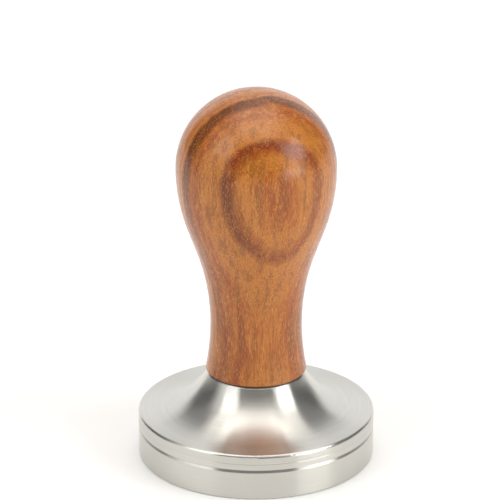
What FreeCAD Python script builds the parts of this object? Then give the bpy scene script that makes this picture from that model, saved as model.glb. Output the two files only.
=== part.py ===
import FreeCAD, Part
import math
import os

# Espresso tamper: a turned steel base and a turned wooden handle that screws onto it.
# Millimetres. Z is the tamper's axis, and z = 0 is the flat face that presses the coffee.

# ---- driving dimensions ----
# base: a disc with a plain skirt, a bevelled groove, a fine turned line, a round rim and a flared neck
BASE_R = 29.0
BOTTOM_EDGE_ROUND = 0.35
SKIRT_TOP = 6.9
GROOVE_HEIGHT = 0.75
GROOVE_DEPTH = 0.35
GROOVE_EDGE_ROUND = 0.05
LINE_Z = 9.3
LINE_HEIGHT = 0.5
LINE_DEPTH = 0.05
RIM_TOP = 11.5
RIM_EDGE_ROUND = 0.7
FLARE_RIM_SLOPE = 4.0
FLARE_NECK_SLOPE = 66.0
NECK_R = 12.05
NECK_TOP = 21.5
NECK_CHAMFER = 0.2

# washer between the neck and the handle
WASHER_R = 11.8
WASHER_HOLE_R = 4.3
WASHER_THICKNESS = 0.4

# handle: foot, waist, bulb and domed crown
FOOT_R = 12.35
FOOT_EDGE_ROUND = 0.5
WAIST_R = 11.2
WAIST_Z = 34.4
WAIST_UPPER_ARC = 54.4
BULB_R = 19.4
BULB_Z = 74.2
BULB_LOWER_ARC = 44.0

# M8 x 1.25 thread, shared by the stud, the base and the insert
PITCH = 1.25
FLANK_ANGLE = 30.0
STUD_CREST_R = 3.95
STUD_ROOT_R = 3.25
STUD_ROOT_FLAT = 0.25
THREAD_CREST_GAP = 0.15
THREAD_FLANK_GAP = 0.1

# tapped hole in the neck
TAP_EXTRA_TURNS = 1
DRILL_R = 3.35
DRILL_DEPTH = 15.0
DRILL_POINT_ANGLE = 59.0
MOUTH_R = 4.6

# stud
STUD_LENGTH = 28.0
STUD_IN_BASE = 12.0
STUD_CHAMFER = 0.8
SOCKET_ACROSS_FLATS = 4.0
SOCKET_DEPTH = 5.0

# threaded insert, glued into the handle
INSERT_LENGTH = 20.0
INSERT_FLANGE_R = 8.0
INSERT_FLANGE_THICKNESS = 1.5
INSERT_PLAIN_LENGTH = 1.0
INSERT_CORE_R = 5.9
INSERT_BARB_R = 6.4
INSERT_BARBS = 5
INSERT_BARB_PITCH = 3.2
INSERT_BARB_STEP = 2.4
KNURL_GROOVES = 16
KNURL_DEPTH = 0.45
KNURL_HALF_ANGLE = 35.0
GLUE_GAP = 0.05
GLUE_POCKET = 1.5

# making: how near two points are taken as one, how close a thread's strips are sewn, how far a cutter
# reaches past the face it cuts, and how many turns a thread has past its ends before it is cut to length
SAME_POINT = 1e-7
SEW_TOLERANCE = 1e-5
OVERSHOOT = 1.0
SPARE_TURNS = 2

# ---- derived places ----
AXIS = FreeCAD.Vector(0, 0, 1)
ORIGIN = FreeCAD.Vector(0, 0, 0)
FOOT_Z = NECK_TOP + WASHER_THICKNESS
STUD_BOTTOM = NECK_TOP - STUD_IN_BASE
INSERT_TOP = FOOT_Z + INSERT_LENGTH
HOLE_MINOR_R = STUD_ROOT_R + THREAD_CREST_GAP
HOLE_MAJOR_R = STUD_CREST_R + THREAD_CREST_GAP
FLANK = math.tan(math.radians(FLANK_ANGLE))


def point(r, z):
    """A point of a turned outline, at radius r and height z."""
    return FreeCAD.Vector(r, 0, z)


def around(r, degrees, z):
    """A point at radius r and height z, an angle round from the X axis."""
    angle = math.radians(degrees)
    return FreeCAD.Vector(r * math.cos(angle), r * math.sin(angle), z)


def on_circle(centre, radius, degrees):
    """The (r, z) point of a circle at an angle from the outward direction."""
    angle = math.radians(degrees)
    return centre[0] + radius * math.cos(angle), centre[1] + radius * math.sin(angle)


def arc(centre, radius, start, end):
    """An arc between two angles in degrees, outward being 0 and up being 90."""
    ends = [point(*on_circle(centre, radius, a)) for a in (start, (start + end) / 2, end)]
    return Part.Arc(*ends).toShape()


def outline(*steps):
    """Edges that follow one another: a pair is a corner on straight lines, an edge is kept as it is."""
    edges = []
    at = None
    for step in steps:
        is_corner = isinstance(step, tuple)
        target = point(*step) if is_corner else step.firstVertex(True).Point
        if at is not None and at.distanceToPoint(target) > SAME_POINT:
            edges.append(Part.makeLine(at, target))
        if is_corner:
            at = target
        else:
            edges.append(step)
            at = step.lastVertex(True).Point
    return edges


def turn(*steps):
    """The solid that a closed outline sweeps about the axis."""
    wire = Part.Wire(outline(*steps, steps[0]))
    return Part.Face(wire).revolve(ORIGIN, AXIS, 360)


def helix(r, z):
    """One turn of a right-handed helix that starts over the X axis."""
    path = Part.makeHelix(PITCH, PITCH, r)
    path.translate(AXIS * z)
    return path.Edges[0]


def thread_end(ridge, z):
    """The two faces that close a threaded rod: a ramp out to the root's helix, and a step at its start."""
    root_r = ridge[0][0]
    start = z + ridge[0][1]
    centre = Part.makeLine(point(0, start), point(0, start + PITCH))
    ramp = Part.makeRuledSurface(centre, helix(root_r, start))
    corners = [(0, start)]
    corners += [(r, z + height) for r, height in ridge]
    corners += [(root_r, start + PITCH), (0, start + PITCH), (0, start)]
    step = Part.makePolygon([point(r, height) for r, height in corners])
    return [ramp, Part.Face(step)]


def threaded_rod(root_r, crest_r, root_half, crest_half, first, turns):
    """A rod with one ridge winding up it, from the first pitch on, in strips between its helices.

    root_half and crest_half are half the ridge's height at its root and at its crest. Pitches are counted
    from the stud's lower end, so that every rod is in phase with the stud.
    """
    bottom = STUD_BOTTOM + first * PITCH
    ridge = [(root_r, -root_half), (crest_r, -crest_half), (crest_r, crest_half), (root_r, root_half)]
    faces = thread_end(ridge, bottom) + thread_end(ridge, bottom + turns * PITCH)
    for k in range(turns):
        z = bottom + k * PITCH
        edges = [helix(r, z + height) for r, height in ridge + [(root_r, PITCH - root_half)]]
        faces += [Part.makeRuledSurface(low, high) for low, high in zip(edges, edges[1:])]
    shell = Part.Shell(faces)
    shell.sewShape(SEW_TOLERANCE)
    rod = Part.Solid(shell)
    rod.fix(SEW_TOLERANCE, SEW_TOLERANCE, SEW_TOLERANCE)
    return rod


def stud_thread(first, turns):
    root_half = (PITCH - STUD_ROOT_FLAT) / 2
    crest_half = root_half - (STUD_CREST_R - STUD_ROOT_R) * FLANK
    return threaded_rod(STUD_ROOT_R, STUD_CREST_R, root_half, crest_half, first, turns)


def hole_thread(first, turns):
    """The space of a tapped hole: the stud's thread grown by the gaps at its crests, roots and flanks."""
    root_half = (PITCH - STUD_ROOT_FLAT) / 2 + THREAD_FLANK_GAP - THREAD_CREST_GAP * FLANK
    crest_half = root_half - (HOLE_MAJOR_R - HOLE_MINOR_R) * FLANK
    return threaded_rod(HOLE_MINOR_R, HOLE_MAJOR_R, root_half, crest_half, first, turns)


def flare():
    """The neck's concave curve: a shallow cone from the rim, then one arc up to the neck's edge."""
    rim = math.radians(FLARE_RIM_SLOPE)
    neck = math.radians(FLARE_NECK_SLOPE)
    rim_centre = (BASE_R - RIM_EDGE_ROUND, RIM_TOP - RIM_EDGE_ROUND)
    start = on_circle(rim_centre, RIM_EDGE_ROUND, 90 - FLARE_RIM_SLOPE)
    end = (NECK_R, NECK_TOP - NECK_CHAMFER)
    reach = math.sin(neck) - math.sin(rim)
    rise = math.cos(rim) - math.cos(neck)
    cone_rise = end[1] - start[1] - (start[0] - end[0]) * math.tan(rim)
    radius = cone_rise / (rise - reach * math.tan(rim))
    centre = (end[0] + radius * math.sin(neck), end[1] + radius * math.cos(neck))
    return arc(centre, radius, 270 - FLARE_RIM_SLOPE, 270 - FLARE_NECK_SLOPE)


def turned_line():
    """The fine line's shallow hollow in the side of the base, from its lower edge to its upper one."""
    half_height = LINE_HEIGHT / 2
    radius = (half_height * half_height + LINE_DEPTH * LINE_DEPTH) / (2 * LINE_DEPTH)
    half_angle = math.degrees(math.asin(half_height / radius))
    centre = (BASE_R - LINE_DEPTH + radius, LINE_Z)
    return arc(centre, radius, 180 + half_angle, 180 - half_angle)


def base():
    """Steel base: skirt, groove with a bevel below and a flat above, turned line, rim, flare, tapped neck."""
    groove_top = SKIRT_TOP + GROOVE_HEIGHT
    bottom_centre = (BASE_R - BOTTOM_EDGE_ROUND, BOTTOM_EDGE_ROUND)
    groove_edge_centre = (BASE_R - GROOVE_EDGE_ROUND, groove_top + GROOVE_EDGE_ROUND)
    rim_centre = (BASE_R - RIM_EDGE_ROUND, RIM_TOP - RIM_EDGE_ROUND)
    body = turn(
        (0, 0),
        arc(bottom_centre, BOTTOM_EDGE_ROUND, -90, 0),
        (BASE_R, SKIRT_TOP),
        (BASE_R - GROOVE_DEPTH, groove_top),
        arc(groove_edge_centre, GROOVE_EDGE_ROUND, -90, 0),
        turned_line(),
        arc(rim_centre, RIM_EDGE_ROUND, 0, 90 - FLARE_RIM_SLOPE),
        flare(),
        (NECK_R - NECK_CHAMFER, NECK_TOP),
        (0, NECK_TOP),
    )
    drill_bottom = NECK_TOP - DRILL_DEPTH
    drill = turn(
        (0, drill_bottom - DRILL_R / math.tan(math.radians(DRILL_POINT_ANGLE))),
        (DRILL_R, drill_bottom),
        (DRILL_R, STUD_BOTTOM),
        (0, STUD_BOTTOM),
    )
    mouth_bottom = NECK_TOP - (MOUTH_R - HOLE_MINOR_R)
    mouth = turn(
        (0, mouth_bottom),
        (HOLE_MINOR_R, mouth_bottom),
        (MOUTH_R, NECK_TOP),
        (MOUTH_R, NECK_TOP + OVERSHOOT),
        (0, NECK_TOP + OVERSHOOT),
    )
    turns = TAP_EXTRA_TURNS + math.ceil(STUD_IN_BASE / PITCH) + SPARE_TURNS
    return body.cut(hole_thread(-TAP_EXTRA_TURNS, turns)).cut([drill, mouth])


def washer():
    """Flat washer, carried on the stud between the neck and the handle's foot."""
    outer = Part.makeCylinder(WASHER_R, WASHER_THICKNESS, AXIS * NECK_TOP)
    hole = Part.makeCylinder(WASHER_HOLE_R, WASHER_THICKNESS + 2 * OVERSHOOT, AXIS * (NECK_TOP - OVERSHOOT))
    return outer.cut(hole)


def beyond_stud(end, outward):
    """The space past one end of the stud and round its chamfer. outward is 1 at the top, -1 at the bottom."""
    tip_r = STUD_CREST_R - STUD_CHAMFER
    reach = SPARE_TURNS * PITCH + STUD_CHAMFER
    far = end + outward * 2 * reach
    return turn(
        (0, end),
        (tip_r, end),
        (tip_r + reach, end - outward * reach),
        (tip_r + reach, far),
        (0, far),
    )


def stud():
    """Set screw with a hexagon socket in its lower end, threaded over its whole length."""
    ends = [beyond_stud(STUD_BOTTOM, -1), beyond_stud(STUD_BOTTOM + STUD_LENGTH, 1)]
    corner_r = SOCKET_ACROSS_FLATS / math.sqrt(3)
    hexagon = Part.makePolygon([around(corner_r, 60 * k, STUD_BOTTOM - OVERSHOOT) for k in range(7)])
    socket = Part.Face(hexagon).extrude(AXIS * (SOCKET_DEPTH + OVERSHOOT))
    turns = math.ceil(STUD_LENGTH / PITCH) + 2 * SPARE_TURNS
    return stud_thread(-SPARE_TURNS, turns).cut(ends).cut(socket)


def insert_barbs(first):
    """The insert's outline from its flange to its top: teeth that lean back against being pulled out."""
    steps = []
    for k in range(INSERT_BARBS):
        bottom = first + k * INSERT_BARB_PITCH
        barb = [(INSERT_CORE_R, bottom), (INSERT_BARB_R, bottom), (INSERT_CORE_R, bottom + INSERT_BARB_STEP)]
        steps.extend(barb)
    return steps


def knurl_groove(angle):
    """One straight V groove along the outside of the insert."""
    outer = INSERT_BARB_R + OVERSHOOT
    inner = INSERT_BARB_R - KNURL_DEPTH
    half = (outer - inner) * math.tan(math.radians(KNURL_HALF_ANGLE))
    bottom = FOOT_Z + INSERT_FLANGE_THICKNESS
    corners = [(inner, 0), (outer, half), (outer, -half), (inner, 0)]
    section = Part.makePolygon([FreeCAD.Vector(x, y, bottom) for x, y in corners])
    groove = Part.Face(section).extrude(AXIS * (INSERT_LENGTH - INSERT_FLANGE_THICKNESS))
    groove.rotate(ORIGIN, AXIS, angle)
    return groove


def threaded_insert():
    """Brass insert: a flange flush with the handle's foot, a barbed, knurled body and a through thread."""
    flange_top = FOOT_Z + INSERT_FLANGE_THICKNESS
    body = turn(
        (0, FOOT_Z),
        (INSERT_FLANGE_R, FOOT_Z),
        (INSERT_FLANGE_R, flange_top),
        (INSERT_CORE_R, flange_top),
        *insert_barbs(flange_top + INSERT_PLAIN_LENGTH),
        (INSERT_CORE_R, INSERT_TOP),
        (0, INSERT_TOP),
    )
    grooves = [knurl_groove(360 * k / KNURL_GROOVES) for k in range(KNURL_GROOVES)]
    first = math.floor((FOOT_Z - STUD_BOTTOM) / PITCH) - SPARE_TURNS
    turns = math.ceil(INSERT_LENGTH / PITCH) + 2 * SPARE_TURNS
    return body.cut(grooves).cut(hole_thread(first, turns))


def waist_and_bulb():
    """The hollow below the waist, the hollow above it and the bulb's lower arc, which a line joins."""
    drop = WAIST_Z - FOOT_Z - FOOT_EDGE_ROUND
    spread = FOOT_R - WAIST_R
    lower_arc = (drop * drop + spread * spread) / (2 * spread)
    lower_centre = (WAIST_R + lower_arc, WAIST_Z)
    foot_angle = 180 + math.degrees(math.asin(drop / lower_arc))
    upper_centre = (WAIST_R + WAIST_UPPER_ARC, WAIST_Z)
    bulb_centre = (BULB_R - BULB_LOWER_ARC, BULB_Z)
    across = upper_centre[0] - bulb_centre[0]
    up = bulb_centre[1] - upper_centre[1]
    apart = math.hypot(across, up)
    lean = math.degrees(math.atan2(up, across) - math.acos((WAIST_UPPER_ARC + BULB_LOWER_ARC) / apart))
    return [
        arc(lower_centre, lower_arc, foot_angle, 180),
        arc(upper_centre, WAIST_UPPER_ARC, 180, 180 - lean),
        arc(bulb_centre, BULB_LOWER_ARC, -lean, 0),
    ]


def handle():
    """Turned wooden handle with a stepped, drilled socket for the insert."""
    foot_centre = (FOOT_R - FOOT_EDGE_ROUND, FOOT_Z + FOOT_EDGE_ROUND)
    body = turn(
        (0, FOOT_Z),
        arc(foot_centre, FOOT_EDGE_ROUND, -90, 0),
        *waist_and_bulb(),
        arc((0, BULB_Z), BULB_R, 0, 90),
    )
    bore_r = INSERT_BARB_R + GLUE_GAP
    flange_r = INSERT_FLANGE_R + GLUE_GAP
    flange_top = FOOT_Z + INSERT_FLANGE_THICKNESS
    bore_top = INSERT_TOP + GLUE_POCKET
    drill_point = bore_r / math.tan(math.radians(DRILL_POINT_ANGLE))
    socket = turn(
        (0, FOOT_Z - OVERSHOOT),
        (flange_r, FOOT_Z - OVERSHOOT),
        (flange_r, flange_top),
        (bore_r, flange_top),
        (bore_r, bore_top),
        (0, bore_top + drill_point),
    )
    return body.cut(socket)


def main():
    os.makedirs("parts", exist_ok=True)
    pieces = {
        "steel_base": base(),
        "threaded_stud": stud(),
        "seat_washer": washer(),
        "threaded_insert": threaded_insert(),
        "wooden_handle": handle(),
    }
    for name, shape in pieces.items():
        print(name, "solids", len(shape.Solids), "valid", shape.isValid(), "volume", round(shape.Volume, 2))
        shape.exportStep(f"parts/{name}.step")


main()
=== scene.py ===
import math

import bpy
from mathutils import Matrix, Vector


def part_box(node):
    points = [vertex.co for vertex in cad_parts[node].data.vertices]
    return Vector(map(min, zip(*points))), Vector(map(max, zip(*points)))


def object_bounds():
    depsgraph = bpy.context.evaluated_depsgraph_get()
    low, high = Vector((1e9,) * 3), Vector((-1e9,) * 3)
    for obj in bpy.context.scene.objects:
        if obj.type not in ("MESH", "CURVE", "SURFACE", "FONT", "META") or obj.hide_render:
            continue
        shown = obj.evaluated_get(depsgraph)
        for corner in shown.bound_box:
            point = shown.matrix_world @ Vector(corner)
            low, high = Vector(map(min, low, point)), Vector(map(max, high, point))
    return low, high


# Looks of the espresso tamper: turned and brushed steel, turned oiled wood, brass and nylon, on a
# white floor. Metres. Z is the tamper's axis and z = 0 is the face it stands on.

MM = 0.001

# camera: a full-frame sensor and a long lens, a little left of the middle and looking down
SENSOR_WIDTH = 36
LENS = 223
CAMERA_PLACE = (-1.5 * MM, -697.7 * MM, 328.6 * MM)
CAMERA_DOWN = math.radians(21.56)
CLIP_START = 0.05

# steel: lines left by the abrasive, as (width across, length round)
FINE_LINES = (0.07 * MM, 9 * MM)
COARSE_LINES = (0.3 * MM, 40 * MM)
CLOUD_SIZE = 14 * MM
STEEL_ROUGHNESS = 0.18

# wood: how the growth layers lie and how large each feature is, as (x, y, z) sizes
LAYER_TURN = math.radians(13)
WANDER_SIZES = (15 * MM, 15 * MM, 38 * MM)
WANDER_REACH = 5.0 * MM
THIN_LINE = 0.45 * MM
STREAK_SIZES = (1.6 * MM, 1.6 * MM, 22 * MM)
FIBRE_SIZES = (0.22 * MM, 0.22 * MM, 3.5 * MM)
BAND_SIZES = (3 * MM, 3 * MM, 14 * MM)
SHORT_FLECK = (0.2 * MM, 0.2 * MM, 1.2 * MM)
LONG_FLECK = (0.3 * MM, 0.3 * MM, 2.4 * MM)

# small parts: lines as for the steel, then the size of their stains, dull patches or stipple
BRASS_LINES = (0.12 * MM, 6 * MM)
BRASS_PATCH = 3 * MM
STUD_LINES = (0.1 * MM, 5 * MM)
STUD_STAIN = 2.5 * MM
NYLON_STIPPLE = 0.2 * MM

# floor and room
FLOOR_REACH = 4.0
FLOOR_GRAIN = 30 * MM
ROOM_STRENGTH = 4

# sockets of the colour mix node, which have the same names for every kind of data
MIX_A = 6
MIX_B = 7
MIX_RESULT = 2

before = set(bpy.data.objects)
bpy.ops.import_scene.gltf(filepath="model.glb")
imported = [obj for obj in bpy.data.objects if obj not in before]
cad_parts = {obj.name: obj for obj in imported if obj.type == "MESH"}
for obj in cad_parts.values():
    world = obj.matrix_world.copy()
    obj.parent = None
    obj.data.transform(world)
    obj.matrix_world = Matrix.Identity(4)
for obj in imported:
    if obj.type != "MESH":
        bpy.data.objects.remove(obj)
cad_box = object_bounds()
HEIGHT = cad_box[1].z
WOOD_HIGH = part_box("wooden_handle")[1]
BULB_RADIUS = WOOD_HIGH.x
BULB_CENTRE = WOOD_HIGH.z - BULB_RADIUS


def linear(value):
    """One channel as it looks on a screen, 0 to 255, as light."""
    if value < 10:
        return value / 255 / 12.92
    return ((value / 255 + 0.055) / 1.055) ** 2.4


def srgb(red, green, blue):
    """A colour given as it looks on a screen, 0 to 255, as Blender's linear colour."""
    return linear(red), linear(green), linear(blue), 1


class Nodes:
    """A node tree with short calls. A value may be a number, a colour, a vector or an output."""

    def __init__(self, tree):
        self.tree = tree

    def set(self, socket, value):
        if isinstance(value, bpy.types.NodeSocket):
            self.tree.links.new(value, socket)
        else:
            socket.default_value = value

    def add(self, kind, values=(), **settings):
        node = self.tree.nodes.new(kind)
        for key, value in settings.items():
            setattr(node, key, value)
        for key, value in dict(values).items():
            self.set(node.inputs[key], value)
        return node

    def math(self, operation, a, b=0.0):
        return self.add("ShaderNodeMath", {0: a, 1: b}, operation=operation).outputs[0]

    def vector(self, operation, a, b, output="Vector"):
        node = self.add("ShaderNodeVectorMath", {0: a, 1: b}, operation=operation)
        return node.outputs[output]

    def position(self):
        return self.add("ShaderNodeTexCoord").outputs["Object"]

    def scaled(self, vector, sizes):
        """The vector measured in units of the given sizes, one for each axis."""
        scale = tuple(1 / size for size in sizes)
        values = {"Vector": vector, "Scale": scale}
        return self.add("ShaderNodeMapping", values, vector_type="POINT").outputs[0]

    def noise(self, vector, detail=2.0, roughness=0.5):
        values = {"Vector": vector, "Scale": 1.0, "Detail": detail, "Roughness": roughness}
        return self.add("ShaderNodeTexNoise", values)

    def span(self, value, low, high, to_low=0.0, to_high=1.0, smooth=True):
        """The value's way from low to high, as to_low to to_high, and no further."""
        kind = "SMOOTHSTEP" if smooth else "LINEAR"
        values = {"Value": value, 1: low, 2: high, 3: to_low, 4: to_high}
        return self.add("ShaderNodeMapRange", values, interpolation_type=kind).outputs["Result"]

    def mix(self, share, a, b, blend="MIX"):
        node = self.add("ShaderNodeMix", data_type="RGBA", blend_type=blend)
        self.set(node.inputs["Factor"], share)
        self.set(node.inputs[MIX_A], a)
        self.set(node.inputs[MIX_B], b)
        return node.outputs[MIX_RESULT]

    def ramp(self, value, stops):
        """stops holds (place, colour) pairs in order."""
        node = self.add("ShaderNodeValToRGB", {"Fac": value})
        ramp = node.color_ramp
        ramp.interpolation = "EASE"
        while len(ramp.elements) < len(stops):
            ramp.elements.new(0.5)
        for element, (place, _) in zip(ramp.elements, stops):
            element.position = place
        for element, (_, colour) in zip(ramp.elements, stops):
            element.color = colour
        return node.outputs["Color"]

    def flecks(self, position, sizes, rarity):
        """Separate small dashes of the given sizes, in the share of cells that rarity leaves."""
        values = {"Vector": self.scaled(position, sizes), "Scale": 1.0}
        cells = self.add("ShaderNodeTexVoronoi", values).outputs
        draw = self.add("ShaderNodeSeparateColor", {0: cells["Color"]}).outputs[0]
        chosen = self.math("GREATER_THAN", draw, rarity)
        return self.math("MULTIPLY", self.span(cells["Distance"], 0.42, 0.22), chosen)

    def bump(self, height, distance, strength):
        values = {"Height": height, "Distance": distance, "Strength": strength}
        return self.add("ShaderNodeBump", values).outputs["Normal"]


def new_material(name, **values):
    """A material, its nodes and its Principled shader, with constant values set on the shader."""
    material = bpy.data.materials.new(name)
    material.use_nodes = True
    nodes = Nodes(material.node_tree)
    shader = material.node_tree.nodes["Principled BSDF"]
    for key, value in values.items():
        nodes.set(shader.inputs[key.replace("_", " ")], value)
    return material, nodes, shader


def turned_lines(nodes, position, pitch, run):
    """Noise that is drawn out round the Z axis, as a lathe or a brush on a spinning part leaves it.

    pitch is the lines' width across, and run is about how far one goes round before it fades.
    """
    parts = nodes.add("ShaderNodeSeparateXYZ", {0: position}).outputs
    flat = nodes.add("ShaderNodeCombineXYZ", {0: parts["X"], 1: parts["Y"]}).outputs[0]
    radius = nodes.add("ShaderNodeVectorMath", {0: flat}, operation="LENGTH").outputs["Value"]
    across = nodes.math("DIVIDE", radius, pitch)
    up = nodes.math("DIVIDE", parts["Z"], pitch)
    fade = nodes.noise(nodes.scaled(position, (run, run, run)), detail=1.0).outputs["Fac"]
    along = nodes.math("MULTIPLY", fade, 6.0)
    spun = nodes.add("ShaderNodeCombineXYZ", {0: across, 1: up, 2: along}).outputs[0]
    return nodes.noise(spun, detail=3.0, roughness=0.6).outputs["Fac"]


def brushed_steel():
    """Stainless steel, finished with an abrasive on the lathe, so its scratches run round the axis."""
    material, nodes, shader = new_material(
        "brushed_steel", Metallic=1.0, Anisotropic=1.0, Anisotropic_Rotation=0.25)
    position = nodes.position()
    fine = turned_lines(nodes, position, *FINE_LINES)
    coarse = turned_lines(nodes, position, *COARSE_LINES)
    cloudy = nodes.noise(nodes.scaled(position, (CLOUD_SIZE,) * 3), detail=3.0).outputs["Fac"]
    tone = nodes.math("ADD", nodes.math("MULTIPLY", fine, 0.85), nodes.math("MULTIPLY", coarse, 0.15))
    light = nodes.mix(nodes.span(tone, 0.3, 0.7), srgb(200, 198, 191), srgb(212, 211, 205))
    nodes.set(shader.inputs["Base Color"], light)
    rough = nodes.math("ADD", nodes.math("MULTIPLY", tone, 0.06), nodes.math("MULTIPLY", cloudy, 0.04))
    nodes.set(shader.inputs["Roughness"], nodes.math("ADD", rough, STEEL_ROUGHNESS))
    nodes.set(shader.inputs["Normal"], nodes.bump(fine, 0.003 * MM, 0.4))
    tangent = nodes.add("ShaderNodeTangent", direction_type="RADIAL", axis="Z").outputs[0]
    nodes.set(shader.inputs["Tangent"], tangent)
    return material


def turned_wood():
    """Oiled hardwood turned with its grain upright. The growth layers stand nearly square to the front."""
    material, nodes, shader = new_material(
        "turned_wood", Coat_Weight=0.9, Coat_Roughness=0.22, Coat_IOR=1.5, Specular_IOR_Level=0.05)
    position = nodes.position()
    parts = nodes.add("ShaderNodeSeparateXYZ", {0: position}).outputs
    tan = srgb(192, 120, 48)
    mid = srgb(172, 94, 30)
    red = srgb(146, 66, 20)
    dark = srgb(96, 46, 18)
    olive = srgb(136, 84, 32)
    gold = srgb(220, 154, 74)
    # the layers wander from side to side, and less so along the grain
    wander = nodes.noise(nodes.scaled(position, WANDER_SIZES), detail=4.0, roughness=0.6)
    shift = nodes.vector("SUBTRACT", wander.outputs["Color"], (0.5, 0.5, 0.5))
    warped = nodes.vector("ADD", position, nodes.vector("MULTIPLY", shift, (WANDER_REACH,) * 3))
    across_layers = (math.sin(LAYER_TURN), -math.cos(LAYER_TURN), 0.0)
    depth = nodes.vector("DOT_PRODUCT", warped, across_layers, output="Value")
    place = nodes.span(depth, -BULB_RADIUS, BULB_RADIUS, smooth=False)
    colour = nodes.ramp(place, [
        (0.00, red), (0.06, mid), (0.14, dark), (0.18, mid), (0.28, tan),
        (0.33, red), (0.38, mid), (0.46, red), (0.49, tan), (0.55, mid),
        (0.58, tan), (0.61, red), (0.65, mid), (0.68, red), (0.71, mid),
        (0.74, red), (0.76, mid), (0.80, tan), (0.865, tan), (0.90, red),
        (0.925, mid), (0.945, tan), (0.965, tan), (0.985, mid), (1.00, red)])
    # thinner lines within each layer
    thin = nodes.add("ShaderNodeCombineXYZ", {0: nodes.math("DIVIDE", depth, THIN_LINE)}).outputs[0]
    lines = nodes.noise(thin, detail=3.0, roughness=0.7).outputs["Fac"]
    colour = nodes.mix(nodes.span(lines, 0.45, 0.75, 0.0, 0.4), colour, red)
    # upright streaks where the grain turns a little, so that it catches less light or more
    streaks = nodes.noise(nodes.scaled(position, STREAK_SIZES), detail=4.0, roughness=0.6)
    streaks = streaks.outputs["Fac"]
    colour = nodes.mix(nodes.span(streaks, 0.5, 0.62, 0.0, 0.7), colour, olive)
    colour = nodes.mix(nodes.span(streaks, 0.48, 0.38, 0.0, 0.75), colour, tan)
    # upright fibres, some darker and some lighter than the rest
    fibres = nodes.noise(nodes.scaled(position, FIBRE_SIZES), detail=4.0, roughness=0.7)
    fibres = fibres.outputs["Fac"]
    colour = nodes.mix(nodes.span(fibres, 0.5, 0.62, 0.0, 0.7), colour, red)
    colour = nodes.mix(nodes.span(fibres, 0.5, 0.38, 0.0, 0.65), colour, tan)
    # the dark layer that shows round the crown fades on its way down to the foot
    layer = nodes.math("MULTIPLY", nodes.span(place, 0.575, 0.615), nodes.span(place, 0.70, 0.655))
    fade = nodes.span(parts["Z"], BULB_CENTRE - 22 * MM, BULB_CENTRE + 8 * MM, 0.25, 0.95)
    darker = (0.40, 0.36, 0.36, 1)
    colour = nodes.mix(nodes.math("MULTIPLY", layer, fade), colour, darker, "MULTIPLY")
    # the broad dark ring is strongest on the left and turns redder towards the crown
    ring = nodes.math("MULTIPLY", nodes.span(place, 0.868, 0.893), nodes.span(place, 0.95, 0.91))
    side = nodes.span(parts["X"], -10 * MM, 10 * MM, 0.9, 0.15)
    crown = nodes.span(parts["Z"], BULB_CENTRE + 1 * MM, BULB_CENTRE + 10 * MM)
    strength = nodes.math("MAXIMUM", side, nodes.math("MULTIPLY", crown, 0.8))
    tint = nodes.mix(crown, (0.52, 0.46, 0.44, 1), (0.64, 0.40, 0.30, 1))
    colour = nodes.mix(nodes.math("MULTIPLY", ring, strength), colour, tint, "MULTIPLY")
    # short golden flecks, where the lathe cuts across the pores, thicker in some bands than others
    bands = nodes.noise(nodes.scaled(position, BAND_SIZES), detail=3.0).outputs["Fac"]
    short = nodes.flecks(position, SHORT_FLECK, nodes.span(bands, 0.4, 0.6, 0.8, 0.35))
    long = nodes.flecks(position, LONG_FLECK, nodes.span(bands, 0.4, 0.6, 0.97, 0.75))
    flecks = nodes.math("MAXIMUM", short, long)
    colour = nodes.mix(nodes.math("MULTIPLY", flecks, 0.55), colour, gold)
    nodes.set(shader.inputs["Base Color"], colour)
    nodes.set(shader.inputs["Roughness"], nodes.span(fibres, 0.25, 0.75, 0.40, 0.55))
    relief = nodes.math("SUBTRACT", nodes.math("MULTIPLY", fibres, 0.5), flecks)
    nodes.set(shader.inputs["Normal"], nodes.bump(relief, 0.03 * MM, 0.5))
    return material


def brass():
    """Machined brass, a little dulled."""
    material, nodes, shader = new_material("machined_brass", Metallic=1.0, Anisotropic=0.4)
    position = nodes.position()
    lines = turned_lines(nodes, position, *BRASS_LINES)
    dull = nodes.noise(nodes.scaled(position, (BRASS_PATCH,) * 3), detail=4.0).outputs["Fac"]
    colour = nodes.mix(nodes.span(dull, 0.35, 0.7), srgb(214, 178, 108), srgb(178, 136, 74))
    nodes.set(shader.inputs["Base Color"], colour)
    nodes.set(shader.inputs["Roughness"], nodes.math("ADD", nodes.math("MULTIPLY", lines, 0.2), 0.2))
    nodes.set(shader.inputs["Normal"], nodes.bump(lines, 0.01 * MM, 0.5))
    return material


def stud_steel():
    """Plain steel, darker than the base and stained in patches."""
    material, nodes, shader = new_material("stud_steel", Metallic=1.0)
    position = nodes.position()
    lines = turned_lines(nodes, position, *STUD_LINES)
    stain = nodes.noise(nodes.scaled(position, (STUD_STAIN,) * 3), detail=4.0).outputs["Fac"]
    colour = nodes.mix(nodes.span(stain, 0.3, 0.7), srgb(158, 156, 150), srgb(118, 116, 112))
    nodes.set(shader.inputs["Base Color"], colour)
    nodes.set(shader.inputs["Roughness"], nodes.math("ADD", nodes.math("MULTIPLY", lines, 0.2), 0.24))
    nodes.set(shader.inputs["Normal"], nodes.bump(lines, 0.008 * MM, 0.5))
    return material


def washer_nylon():
    """Dark nylon sheet with a fine stipple."""
    material, nodes, shader = new_material("washer_nylon", Specular_IOR_Level=0.4)
    position = nodes.position()
    stipple = nodes.noise(nodes.scaled(position, (NYLON_STIPPLE,) * 3), detail=3.0).outputs["Fac"]
    nodes.set(shader.inputs["Base Color"], nodes.mix(stipple, srgb(44, 38, 34), srgb(62, 55, 50)))
    rough = nodes.math("ADD", nodes.math("MULTIPLY", stipple, 0.2), 0.45)
    nodes.set(shader.inputs["Roughness"], rough)
    nodes.set(shader.inputs["Normal"], nodes.bump(stipple, 0.01 * MM, 0.4))
    return material


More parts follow.
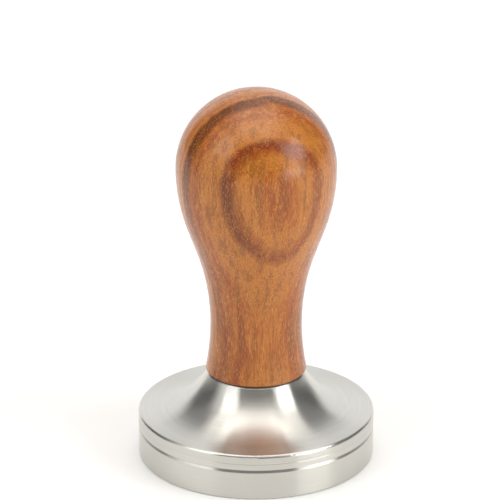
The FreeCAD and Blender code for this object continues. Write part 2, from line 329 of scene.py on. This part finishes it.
def floor_material():
    material, nodes, shader = new_material("white_floor", Roughness=0.7, Specular_IOR_Level=0.2)
    grain = nodes.scaled(nodes.position(), (FLOOR_GRAIN,) * 3)
    grain = nodes.noise(grain, detail=3.0).outputs["Fac"]
    white = nodes.mix(grain, srgb(252, 252, 251), srgb(254, 254, 253))
    nodes.set(shader.inputs["Base Color"], white)
    return material


def add_materials():
    makers = {
        "steel_base": brushed_steel,
        "threaded_stud": stud_steel,
        "seat_washer": washer_nylon,
        "threaded_insert": brass,
        "wooden_handle": turned_wood,
    }
    for name, make in makers.items():
        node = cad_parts[name]
        node.data.materials.clear()
        node.data.materials.append(make())


def add_floor():
    reach = FLOOR_REACH
    mesh = bpy.data.meshes.new("floor")
    corners = [(-reach, -reach, 0), (reach, -reach, 0), (reach, reach, 0), (-reach, reach, 0)]
    mesh.from_pydata(corners, [], [(0, 1, 2, 3)])
    floor = bpy.data.objects.new("floor", mesh)
    floor.data.materials.append(floor_material())
    bpy.context.collection.objects.link(floor)


def grey(level, warmth=0.0):
    """A room colour. A ramp holds colours up to 1, so they are kept at a part of their strength."""
    red = level * (1 + warmth) / ROOM_STRENGTH
    blue = level * (1 - warmth) / ROOM_STRENGTH
    return red, level / ROOM_STRENGTH, blue, 1


def add_world():
    """A white studio room, with dark gaps between its reflectors that show in the steel."""
    world = bpy.data.worlds.new("studio")
    bpy.context.scene.world = world
    world.use_nodes = True
    nodes = Nodes(world.node_tree)
    background = world.node_tree.nodes["Background"]
    direction = nodes.add("ShaderNodeTexCoord").outputs["Generated"]
    parts = nodes.add("ShaderNodeSeparateXYZ", {0: direction}).outputs
    # the way round, in turns: 0.5 is the front, 0.75 the right, 0.25 the left, 0 and 1 the back
    behind = nodes.math("MULTIPLY", parts["Y"], -1.0)
    azimuth = nodes.math("ARCTAN2", parts["X"], behind)
    turns = nodes.span(azimuth, -math.pi, math.pi, smooth=False)
    # three heights of the wall, from the horizon up, and the ceiling
    horizon = nodes.ramp(turns, [
        (0.00, grey(1.1)), (0.09, grey(1.1)), (0.12, grey(0.2)), (0.22, grey(0.2)),
        (0.28, grey(0.9)), (0.38, grey(0.9)), (0.41, grey(0.4)), (0.59, grey(0.4)),
        (0.60, grey(0.5)), (0.615, grey(4.0)), (0.69, grey(4.0)), (0.71, grey(0.8)),
        (0.74, grey(0.3)), (0.88, grey(0.2)), (0.91, grey(1.1)), (1.00, grey(1.1))])
    low = nodes.ramp(turns, [
        (0.00, grey(1.1)), (0.09, grey(1.1)), (0.12, grey(0.1)), (0.22, grey(0.1)),
        (0.25, grey(0.5)), (0.29, grey(1.1)), (0.37, grey(1.1)), (0.40, grey(0.12)),
        (0.50, grey(0.1)), (0.60, grey(0.12)), (0.625, grey(0.8)), (0.72, grey(0.7)),
        (0.75, grey(0.1)), (0.87, grey(0.1)), (0.90, grey(1.1)), (1.00, grey(1.1))])
    middle = nodes.ramp(turns, [
        (0.00, grey(1.0)), (0.06, grey(0.95)), (0.09, grey(0.3)), (0.19, grey(0.3)),
        (0.25, grey(0.9)), (0.36, grey(0.95)), (0.40, grey(0.2)), (0.50, grey(0.15)),
        (0.60, grey(0.25)), (0.63, grey(0.9)), (0.71, grey(0.7)), (0.76, grey(0.3)),
        (0.91, grey(0.3)), (0.94, grey(0.95)), (1.00, grey(1.0))])
    ceiling = grey(1.35, 0.05)
    room = nodes.mix(nodes.span(parts["Z"], 0.13, 0.25), horizon, low)
    room = nodes.mix(nodes.span(parts["Z"], 0.45, 0.6), room, middle)
    room = nodes.mix(nodes.span(parts["Z"], 0.77, 0.86), room, ceiling)
    room = nodes.mix(1.0, room, (ROOM_STRENGTH, ROOM_STRENGTH, ROOM_STRENGTH, 1), "MULTIPLY")
    # the camera itself sees plain white
    seen = nodes.add("ShaderNodeLightPath").outputs["Is Camera Ray"]
    nodes.set(background.inputs["Color"], nodes.mix(seen, room, (1, 1, 1, 1)))
    background.inputs["Strength"].default_value = 1.0


def add_light(name, azimuth, elevation, distance, width, height, power):
    """A softbox that faces the middle of the tamper. Azimuth 0 is the front and 90 the right."""
    turn = math.radians(azimuth)
    lift = math.radians(elevation)
    aim = Vector((0, 0, HEIGHT / 2))
    right = math.sin(turn) * math.cos(lift)
    front = math.cos(turn) * math.cos(lift)
    away = Vector((right, -front, math.sin(lift)))
    data = bpy.data.lights.new(name, "AREA")
    data.shape = "RECTANGLE"
    data.size = width
    data.size_y = height
    data.energy = power
    light = bpy.data.objects.new(name, data)
    light.location = aim + away * distance
    light.rotation_mode = "QUATERNION"
    light.rotation_quaternion = away.to_track_quat("Z", "Y")
    bpy.context.collection.objects.link(light)


def add_camera():
    data = bpy.data.cameras.new("camera")
    data.sensor_width = SENSOR_WIDTH
    data.lens = LENS
    data.clip_start = CLIP_START
    camera = bpy.data.objects.new("camera", data)
    camera.location = CAMERA_PLACE
    camera.rotation_euler = (math.radians(90) - CAMERA_DOWN, 0, 0)
    bpy.context.collection.objects.link(camera)
    bpy.context.scene.camera = camera


add_materials()
add_floor()
add_world()
add_light("key", azimuth=68, elevation=31, distance=1.0, width=0.5, height=0.42, power=2.4)
add_light("fill", azimuth=-60, elevation=40, distance=1.2, width=0.6, height=0.6, power=1.6)
add_light("top", azimuth=0, elevation=88, distance=1.0, width=0.8, height=0.8, power=2.2)
add_camera()
bpy.context.scene.view_settings.view_transform = "Standard"
